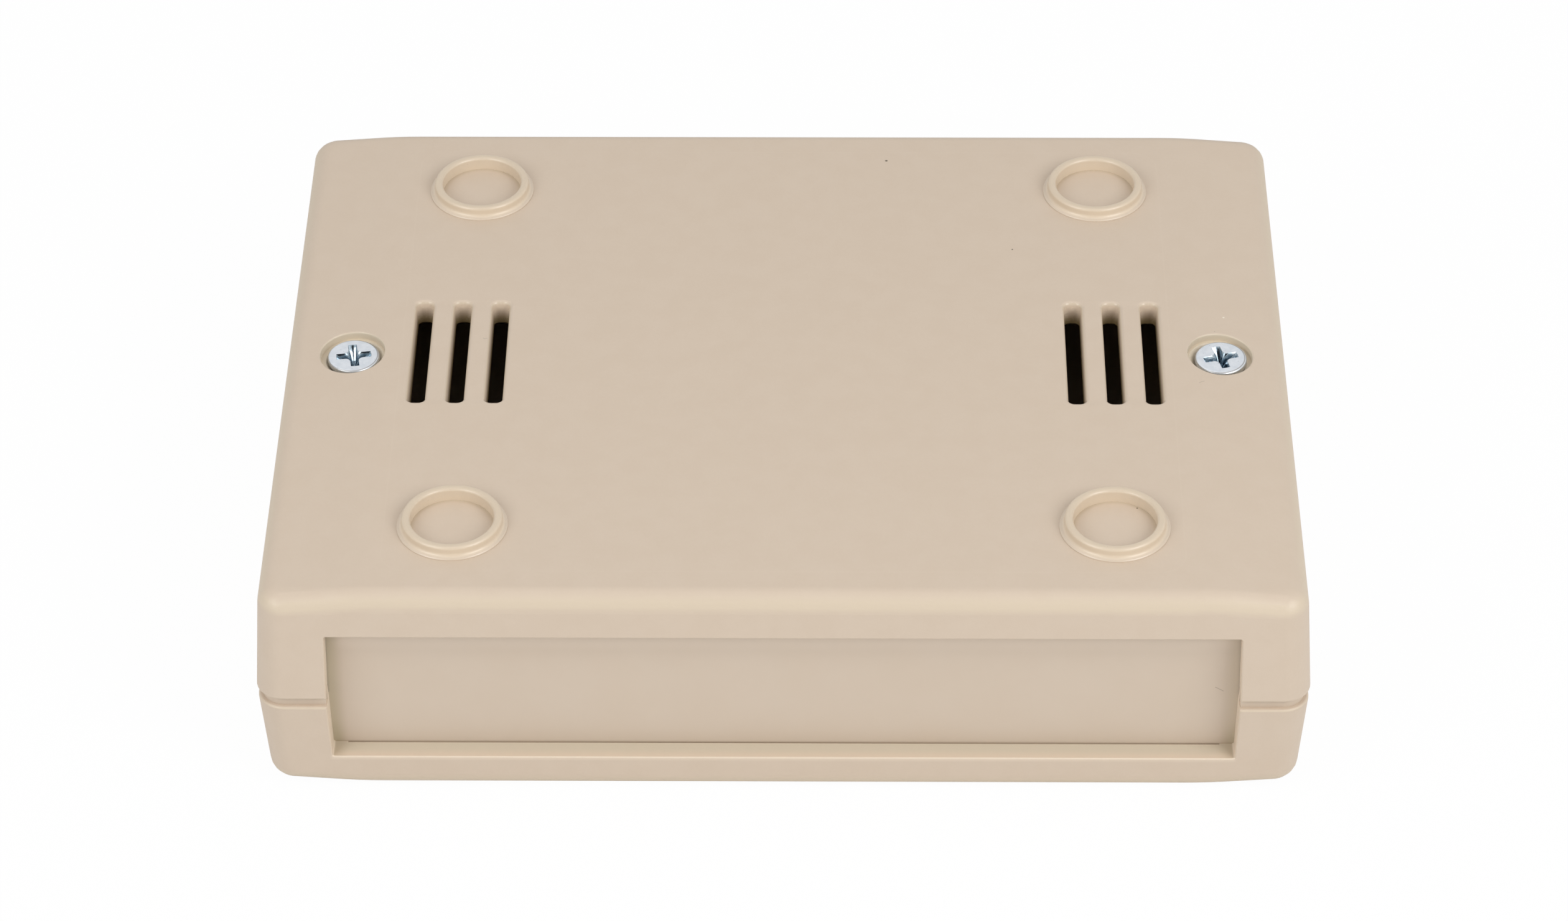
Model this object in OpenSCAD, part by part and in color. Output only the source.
// Two-part moulded instrument enclosure, lying on its cover with the base side up.
// Millimetres, +Z up, X along the width, the front panel faces -Y.
// Origin: middle of the cover's outer face, which lies on the table.

/* [Case] */
// Width over the sides at the parting line
case_w = 116.5; // [100:0.5:160]
// Depth from front to rear at the parting line
case_d = 89; // [76:0.5:130]
// Height over the two outer faces
case_h = 28; // [26:0.5:50]
// Thickness of the two large faces
face_t = 2.9; // [2.2:0.1:3.2]
// Thickness of the side walls at the parting line
side_t = 2.6; // [2.5:0.1:3.4]
// Thickness of the front and rear walls at the parting line
end_t = 2.8; // [2.6:0.1:3.4]
// Lean of the walls for release from the mould, degrees
draft_a = 3.5; // [1:0.1:4]
// Radius where a large face rolls over into the walls
edge_r = 2.2; // [1.2:0.1:2.6]
// Radius of the upright corners, seen from above
corner_r = 3; // [2.8:0.1:5]
// Width of the sloping margin along each side
margin_w = 11.35; // [8:0.05:14]
// Slope of that margin, degrees
margin_a = 4.2; // [1:0.1:6]
// Radius that blends the flat face into a margin
crest_r = 60; // [20:5:100]

/* [Parting line] */
// Height of the shadow gap between the halves
gap_h = 1.2; // [0.8:0.1:1.8]
// Depth of the shadow gap
gap_depth = 0.65; // [0.3:0.05:0.7]
// How far the shadow gap starts below mid height
gap_drop = 0.18; // [0:0.02:0.4]
// Thickness of the base's lip that stands on the cover
lip_t = 0.9; // [0.6:0.05:1]
// Rounding of the edges along the shadow gap
gap_edge_r = 0.3; // [0.1:0.05:0.35]
// Clearance between parts that slot together
fit = 0.15; // [0.1:0.05:0.3]

/* [Windows and panels] */
// Distance from the side to the window, at the parting line
window_side = 7.8; // [6.5:0.1:12]
// Distance from the base's face to the window
window_edge = 5.5; // [4.8:0.1:7]
// Distance from the cover's face to the window's sill
window_sill = 4.95; // [4.8:0.05:7]
// Lean of the window's sides, degrees
window_a = 1.4; // [0.5:0.1:3]
// Radius of the window's corners
window_r = 0.3; // [0.2:0.05:1.5]
// Bevel along the window's outer edge
window_bevel = 0.12; // [0.06:0.02:0.3]
// How far a panel reaches past the window at each side
panel_lap = 1.6; // [1:0.1:2.5]
// Thickness of a panel
panel_t = 2; // [1:0.1:2.5]
// Length of the cover's pad at each end of a panel's foot
pad_w = 1.6; // [0.8:0.1:3]
// Thickness of the ribs behind a panel
rib_t = 1.8; // [1.2:0.1:2.4]

/* [Vents] */
// Slots in each group
vent_count = 3; // [1:1:4]
// Width of a slot
vent_w = 2; // [1.6:0.1:2.6]
// Length of a slot
vent_l = 18.6; // [10:0.1:30]
// Distance from slot to slot
vent_pitch = 4.42; // [4:0.02:6]
// Distance from the side to the outermost slot's centre line
vent_inset = 16.2; // [16:0.1:22]
// Radius of a slot's corners
vent_r = 0.75; // [0.3:0.05:0.75]
// Rounding of a slot's outer edge
vent_lip_r = 0.46; // [0.2:0.02:0.6]
// Lean of a slot's walls, degrees
vent_a = 2.2; // [0.2:0.2:3]

/* [Ring feet] */
// Distance from the side to a ring's centre
foot_inset_x = 21.65; // [20:0.05:34]
// Distance from the front or rear to a ring's centre
foot_inset_y = 13.2; // [11:0.1:24]
// Bore of a ring, which takes a stick-on foot
foot_bore_d = 9.3; // [6:0.05:11]
// Height of a ring above the face
foot_h = 1.36; // [1.2:0.02:2]
// How far the seat inside a ring lies below the face
foot_sink = 0.22; // [0.1:0.02:0.5]
// Width of a ring's top
foot_rim = 0.95; // [0.9:0.05:1.4]
// Rounding of a ring's top edges
foot_lip_r = 0.34; // [0.1:0.02:0.4]
// How far the flange round a ring reaches past its wall
flange_w = 0.55; // [0.4:0.05:0.7]
// Height of that flange
flange_h = 0.2; // [0.15:0.01:0.4]

/* [Screws and bosses] */
// Distance from the side to a screw's axis
screw_inset = 8.35; // [8:0.05:9.5]
// Diameter of a screw's head
head_d = 6; // [5:0.1:6.4]
// Height of the straight rim of the head
head_rim = 0.7; // [0.5:0.05:1]
// Bevel round the top of the head
head_bevel = 0.12; // [0.06:0.02:0.3]
// How far the head lies below the margin's surface
head_sink = 0.45; // [0.2:0.05:0.8]
// Diameter of the recess round the head
recess_d = 7.5; // [7:0.1:8.4]
// Rounding of the recess's edge
recess_lip_r = 0.2; // [0.1:0.05:0.4]
// Diameter of the screw's core, under its thread
core_d = 2.2; // [1.6:0.1:2.6]
// Outside diameter of the screw's thread
thread_d = 3; // [2.6:0.1:3.4]
// Length of the screw
screw_l = 20; // [16:0.5:22]
// Span of the cross recess in a head
cross_span = 4.1; // [3:0.1:4.4]
// Width of one arm of the cross
cross_w = 0.95; // [0.6:0.05:1.2]
// Width of the cross's middle, where its arms flare together
cross_core = 1.9; // [1.2:0.1:2.4]
// Depth of the cross
cross_depth = 1.7; // [1:0.1:2]
// How far the left screw was turned when it was driven home, degrees
left_turn = 9; // [0:1:89]
// The same for the right screw
right_turn = 15; // [0:1:89]
// How far the screws lie to the right in their holes, as a share of the clearance
screw_play = 0.8; // [0:0.1:0.9]
// Diameter of the screw bosses
boss_d = 8.6; // [7:0.1:9]
// Thickness of the web between a boss and the side wall
web_t = 1.6; // [1:0.1:2.5]
// How far that web stops short of the boss's end
web_short = 2.2; // [1:0.1:4]

/* [Board posts] */
// Distance from the side to a post's axis
post_inset_x = 26; // [24:0.5:40]
// Distance from the front or rear to a post's axis
post_inset_y = 19.5; // [17:0.5:26]
// Diameter of a post
post_d = 6; // [4.5:0.1:8]
// Height of a post
post_h = 5; // [3:0.1:8]
// Pilot hole of a post
post_bore_d = 2.1; // [1.5:0.1:3]
// Depth of that hole
post_bore_l = 5.5; // [3:0.1:6]

/* [Hidden] */
$fn = 64;
hull_fn = 32;
arc_steps = 6;
crest_steps = 3;
// Overshoot of a cut
over = 1;
// Overlap of what is joined
sink = 0.4;

abs_beige = "#d2c2ad";
zinc = "#c9ced2";

// Each half has its parting plane at z = 0 and its outer face at half_h
half_h = case_h / 2;
inner_h = half_h - face_t;
lean = tan(draft_a);
slope = tan(margin_a);
cavity_w = case_w - 2 * side_t;
cavity_d = case_d - 2 * end_t;
// Radius of the upright corners inside
cavity_r = 1;

// Crest where the flat face turns into a sloping margin, and shoulder at the corners
crest_x = case_w / 2 - margin_w;
crest_z = half_h - edge_r;
shoulder_x = case_w / 2 - crest_z * lean - corner_r;
shoulder_z = crest_z - (shoulder_x + corner_r - edge_r - crest_x) * slope;

// How far the lap joint reaches below the parting plane
lap_h = gap_drop + gap_h;

// Half width of the window at the parting plane
window_x = case_w / 2 - window_side;

// Panel: stands on the cover's inner face, just behind the front wall
panel_w = 2 * (window_x + panel_lap);
panel_y = cavity_d / 2 - fit;
panel_h = 2 * inner_h - 2 * fit;
rib_y = panel_y - panel_t - fit;
rib_x = window_x - panel_lap;

screw_x = case_w / 2 - screw_inset;
// The margin's surface and the head's top, at the screw's axis
margin_z = half_h - edge_r + edge_r / cos(margin_a) - (screw_x - crest_x) * slope;
head_z = margin_z - head_sink;
// Cone under the head: its mouth lies just inside the recess, on the recess's tilted floor
seat_r = recess_d / 2 - fit;
seat_z = head_z - head_rim + seat_r - head_d / 2 - fit;
recess_depth = margin_z - seat_z + seat_r * slope;
clear_d = thread_d + 2 * fit;
pilot_d = core_d + 2 * fit;

foot_x = case_w / 2 - foot_inset_x;
foot_y = case_d / 2 - foot_inset_y;
foot_outer_r = foot_bore_d / 2 + foot_rim;
post_x = case_w / 2 - post_inset_x;
post_y = case_d / 2 - post_inset_y;

// Points along an arc about c
function arc(c, r, a0, a1) =
    [for (i = [0 : arc_steps]) let (a = a0 + (a1 - a0) * i / arc_steps) c + r * [cos(a), sin(a)]];

// Outline of a rectangle with round corners
function rounded(w, d, r) = concat(
    arc([w / 2 - r, d / 2 - r], r, 0, 90),
    arc([r - w / 2, d / 2 - r], r, 90, 180),
    arc([r - w / 2, r - d / 2], r, 180, 270),
    arc([w / 2 - r, r - d / 2], r, 270, 360));

// Half width of a window at a height from the parting plane
function window_half(z) = window_x - z * tan(window_a);

// Outline of a window about the centres of its right corners, foot and top
function window_outline(corners, r) =
    let (right = concat(arc(corners[0], r, -90, window_a), arc(corners[1], r, window_a, 90)))
    concat(right, [for (i = [len(right) - 1 : -1 : 0]) [-right[i][0], right[i][1]]]);

// Half section of a cut from x0 to a wall at r, which rolls over to the surface z = 0;
// the wall may lean in below
function lip_section(x0, r, lip, depth, lean_a = 0) = concat(
    [[x0, -depth], [r - (depth - lip) * tan(lean_a), -depth]],
    arc([r + lip, -lip], lip, 180, 90),
    [[r + lip, over], [x0, over]]);

// Slab with round corners between two heights
module slab(w, d, r, z0, z1) {
    translate([0, 0, z0])
        linear_extrude(z1 - z0)
            polygon(rounded(w, d, r));
}

// Solid between outlines with the same count of points, one at each height
module stacked(outlines, heights) {
    count = len(outlines[0]);
    last = len(outlines) - 1;
    polyhedron(
        points = [for (k = [0 : last], p = outlines[k]) [p[0], p[1], heights[k]]],
        faces = concat(
            [[for (i = [0 : count - 1]) i], [for (i = [count - 1 : -1 : 0]) last * count + i]],
            [for (k = [0 : last - 1], i = [0 : count - 1]) let (j = (i + 1) % count)
                [k * count + i, (k + 1) * count + i, (k + 1) * count + j, k * count + j]]));
}

// Cut of any convex outline with a rolled-over edge: the section is swept along the
// sides and turned about the corners, whose centres are given anticlockwise
module lipped_cut(centres, r, lip, depth, lean_a = 0) {
    count = len(centres);
    translate([0, 0, -depth])
        linear_extrude(depth + over)
            polygon(centres);
    for (i = [0 : count - 1]) {
        here = centres[i];
        next = centres[(i + 1) % count];
        last = centres[(i + count - 1) % count];
        side = next - here;
        heading = atan2(side[1], side[0]);
        came = here - last;
        turn = (heading - atan2(came[1], came[0]) + 720) % 360;
        translate(here)
            rotate([90, 0, heading + 90])
                mirror([1, 0, 0])
                    linear_extrude(norm(side))
                        polygon(lip_section(-r / 2, r, lip, depth, lean_a));
        translate(here)
            rotate([0, 0, heading - 90 - turn])
                rotate_extrude(angle = turn)
                    polygon(lip_section(0, r, lip, depth, lean_a));
    }
}

module at_sides() {
    for (s = [0, 1])
        mirror([s, 0, 0])
            children();
}

module at_ends() {
    for (s = [0, 1])
        mirror([0, s, 0])
            children();
}

module at_corners(x, y) {
    for (i = [-1, 1], j = [-1, 1])
        translate([i * x, j * y, 0])
            children();
}

// Corner of the outer form at one height, with its upper edge rolled over
module rolled_corner(x, y, z, r) {
    at_corners(x, y)
        translate([0, 0, z])
            rotate_extrude($fn = hull_fn)
                polygon(concat([[0, 0]], arc([r - edge_r, 0], edge_r, 0, 90), [[0, edge_r]]));
}

// Corner of the outer form at its rim, with its lower edge rolled under
module rim_corner(rim) {
    inset = (rim + gap_edge_r) * lean + corner_r;
    at_corners(case_w / 2 - inset, case_d / 2 - inset)
        translate([0, 0, rim])
            rotate_extrude($fn = hull_fn)
                polygon(concat([[0, 0]], arc([corner_r - gap_edge_r, gap_edge_r], gap_edge_r, 270, 360),
                               [[0, gap_edge_r]]));
}

// Bar with the section the outer form has where its face has bent by an angle towards a margin
module crest_bar(a) {
    x = crest_x + crest_r * (sin(a) - tan(margin_a / 2));
    z = crest_z - crest_r * (1 - cos(a));
    y = case_d / 2 - z * lean - edge_r;
    rotate([90, 0, 90])
        linear_extrude(2 * x, center = true)
            polygon(concat(arc([y, z], edge_r, 0, 90), arc([-y, z], edge_r, 90, 180)));
}

// Outer form of a half: leaning walls, rolled edges, flat face and sloping margins
module half_form(rim) {
    hull() {
        rim_corner(rim);
        rolled_corner(shoulder_x, case_d / 2 - shoulder_z * lean - corner_r, shoulder_z, corner_r);
        for (i = [0 : crest_steps])
            crest_bar(margin_a * i / crest_steps);
    }
}

// Window through the front wall, square to the leaning wall, with a bevel at the outside
module window_cut(edge) {
    top_z = half_h - edge;
    foot_z = -lap_h - over;
    corners = [[window_half(foot_z) - window_r, foot_z], [window_half(top_z) - window_r, top_z - window_r]];
    translate([0, -case_d / 2, 0])
        rotate([90 - draft_a, 0, 0])
            stacked([window_outline(corners, window_r), window_outline(corners, window_r),
                     window_outline(corners, window_r + window_bevel + over)],
                    [-end_t - over, -window_bevel, over]);
}

// Guides that hold a panel against the front wall: two upright ribs, one along the face,
// and a pad of the given thickness at each end
module panel_guides(foot, edge, pad_t) {
    top_z = half_h - edge;
    pad_x = window_half(top_z) - pad_w;
    wall_x = cavity_w / 2 + sink;
    wall_y = cavity_d / 2 + sink;
    stop_x = panel_w / 2 + fit;
    at_sides()
        translate([0, 0, foot])
            linear_extrude(inner_h + sink - foot)
                polygon([[stop_x, -wall_y], [wall_x, -wall_y], [wall_x, rib_t - rib_y],
                         [rib_x, rib_t - rib_y], [rib_x, -rib_y], [stop_x, -rib_y]]);
    translate([-rib_x - sink, -rib_y, top_z])
        cube([2 * (rib_x + sink), rib_t, inner_h + sink - top_z]);
    if (pad_t > 0)
        at_sides()
            translate([pad_x, -wall_y, foot])
                cube([stop_x + sink - pad_x, sink + pad_t, inner_h + sink - foot]);
}

// Tube for a screw, tied to the side wall by a web
module boss(foot) {
    translate([screw_x, 0, foot])
        cylinder(d = boss_d, h = inner_h + sink - foot);
    translate([screw_x, -web_t / 2, foot + web_short])
        cube([cavity_w / 2 + sink - screw_x, web_t, inner_h + sink - foot - web_short]);
}

// Walls, face, windows, panel guides and bosses that both halves share
module half_shell(rim, edge, pad_t) {
    difference() {
        union() {
            difference() {
                union() {
                    half_form(rim);
                    children();
                }
                slab(cavity_w, cavity_d, cavity_r, -lap_h - over, inner_h);
            }
            at_ends()
                panel_guides(rim + fit, edge, pad_t);
            at_sides()
                boss(0);
        }
        at_ends()
            window_cut(edge);
    }
}

// Lip of the base that stands on the cover's rim behind the shadow gap
module base_lip() {
    inset = 2 * gap_depth;
    bore = 2 * (gap_depth + lip_t);
    difference() {
        slab(case_w - inset, case_d - inset, corner_r - gap_depth, -lap_h, sink);
        slab(case_w - bore, case_d - bore, corner_r - gap_depth - lip_t, -lap_h - over, -gap_drop);
    }
}

// Tongue of the cover that locates the base's lip from inside
module cover_tongue() {
    inset = 2 * (gap_depth + lip_t + fit);
    slab(case_w - inset, case_d - inset, corner_r - inset / 2, gap_drop + fit, lap_h + sink);
}

module vent_cut() {
    x = vent_w / 2 - vent_r;
    y = vent_l / 2 - vent_r;
    lipped_cut([[-x, -y], [x, -y], [x, y], [-x, y]], vent_r, vent_lip_r, face_t + over, vent_a);
}

// Solid of a ring foot: straight wall, hollow fillet and low flange
module foot_ring() {
    r = foot_outer_r;
    fillet_r = flange_w - flange_h / 2;
    flange_r = r + flange_w;
    rotate_extrude()
        polygon(concat(
            [[0, -sink], [flange_r, -sink], [flange_r, flange_h / 2]],
            arc([r + fillet_r, flange_h + fillet_r], fillet_r, 270, 180),
            arc([r - foot_lip_r, foot_h - foot_lip_r], foot_lip_r, 0, 90),
            [[0, foot_h]]));
}

module foot_cut() {
    translate([0, 0, foot_h])
        rotate_extrude()
            polygon(lip_section(0, foot_bore_d / 2, foot_lip_r, foot_h + foot_sink));
}

// Recess square to the sloping margin, then an upright cone and clearance hole
module screw_cut() {
    translate([screw_x, 0, margin_z])
        rotate([0, margin_a, 0])
            rotate_extrude()
                polygon(lip_section(0, recess_d / 2, recess_lip_r, recess_depth));
    translate([screw_x, 0, 0]) {
        translate([0, 0, seat_z - seat_r])
            cylinder(r1 = 0, r2 = seat_r, h = seat_r);
        translate([0, 0, -over])
            cylinder(d = clear_d, h = seat_z - seat_r + clear_d + over);
    }
}

module base_half() {
    difference() {
        union() {
            half_shell(-gap_drop, window_edge, 0)
                base_lip();
            at_corners(foot_x, foot_y)
                translate([0, 0, half_h])
                    foot_ring();
            at_corners(post_x, post_y)
                translate([0, 0, inner_h - post_h])
                    cylinder(d = post_d, h = post_h + sink);
        }
        at_corners(foot_x, foot_y)
            translate([0, 0, half_h])
                foot_cut();
        at_corners(post_x, post_y)
            translate([0, 0, inner_h - post_h - over])
                cylinder(d = post_bore_d, h = post_bore_l + over);
        at_sides() {
            screw_cut();
            for (i = [0 : vent_count - 1])
                translate([case_w / 2 - vent_inset - i * vent_pitch, 0, half_h])
                    vent_cut();
        }
    }
}

module cover_half() {
    pilot_l = screw_l - head_z + over;
    difference() {
        half_shell(lap_h, window_sill, fit)
            cover_tongue();
        at_sides()
            translate([screw_x, 0, -over])
                cylinder(d = pilot_d, h = pilot_l + over);
    }
}

module panel() {
    translate([0, panel_t - panel_y, half_h - inner_h])
        rotate([90, 0, 0])
            translate([-panel_w / 2, 0, 0])
                linear_extrude(panel_t)
                    square([panel_w, panel_h]);
}

// Countersunk screw with a cross recess, its head's top at z = 0
module screw(turn) {
    head_r = head_d / 2;
    core_r = core_d / 2;
    cone_h = head_r - core_r;
    rotate([0, 0, turn])
        difference() {
            rotate_extrude()
                polygon([[0, -screw_l], [core_r / 2, -screw_l], [core_r, -screw_l + core_r],
                         [core_r, -head_rim - cone_h], [head_r, -head_rim],
                         [head_r, -head_bevel], [head_r - head_bevel, 0], [0, 0]]);
            intersection() {
                for (a = [0, 90])
                    rotate([0, 0, a])
                        translate([-cross_span / 2, -cross_w / 2, -cross_depth])
                            cube([cross_span, cross_w, cross_depth + over]);
                cross_cone(cross_span);
            }
            cross_cone(cross_core);
        }
}

// Cone that a cross recess narrows down
module cross_cone(mouth) {
    translate([0, 0, -cross_depth])
        cylinder(d1 = cross_w, d2 = mouth, h = cross_depth);
}

module base_shell() {
    color(abs_beige)
        translate([0, 0, half_h])
            base_half();
}

module cover_shell() {
    color(abs_beige)
        translate([0, 0, half_h])
            rotate([180, 0, 0])
                cover_half();
}

module front_panel() {
    color(abs_beige)
        panel();
}

module rear_panel() {
    color(abs_beige)
        mirror([0, 1, 0])
            panel();
}

module case_screws() {
    color(zinc)
        translate([screw_play * fit, 0, half_h + head_z]) {
            translate([-screw_x, 0, 0])
                screw(left_turn);
            translate([screw_x, 0, 0])
                screw(right_turn);
        }
}

base_shell();
cover_shell();
front_panel();
rear_panel();
case_screws();
